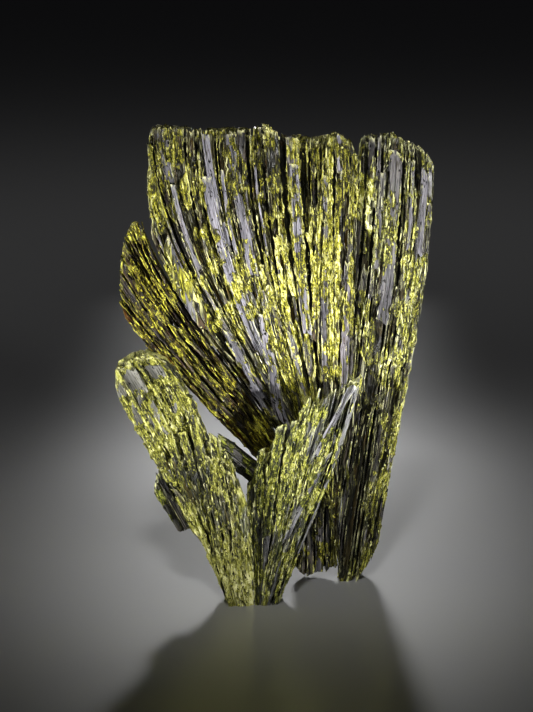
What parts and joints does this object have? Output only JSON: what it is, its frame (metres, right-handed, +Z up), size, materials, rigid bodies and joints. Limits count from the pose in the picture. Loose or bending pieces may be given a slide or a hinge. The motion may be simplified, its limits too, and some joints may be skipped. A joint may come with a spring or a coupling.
{
  "type": "epidote crystal cluster",
  "caption": "Upright spray of striated epidote blades: a wide fan and a slab on short prism feet cut flat where they stand.",
  "frame": {"origin": "on the surface it stands on, under the middle of the whole cluster's box", "axes": "+Z up, the way the blades grow; +X to the viewer's right; -Y towards the viewer, on the side of the short prisms"},
  "size_m": [0.0585, 0.0287, 0.089],
  "materials": {
    "fan_epidote": "glossy striated faces with matt yellow-green crust",
    "wing_epidote": "dark glossy striated faces with yellow-green crust",
    "slab_epidote": "satin striated faces with yellow-green crust",
    "front_epidote": "satin striated faces with pale green crust",
    "moss_epidote": "matt granular yellow-green crust on grey-green crystal",
    "dark_epidote": "dark glossy faces with pale edges"
  },
  "bodies": {
    "root": {"fan": "fan_epidote", "left_wing": "wing_epidote", "right_slab": "slab_epidote", "front_prism": "front_epidote", "left_prism": "moss_epidote", "stub_crystal": "dark_epidote", "bridge_crystal": "dark_epidote"}
  },
  "joints": []
}
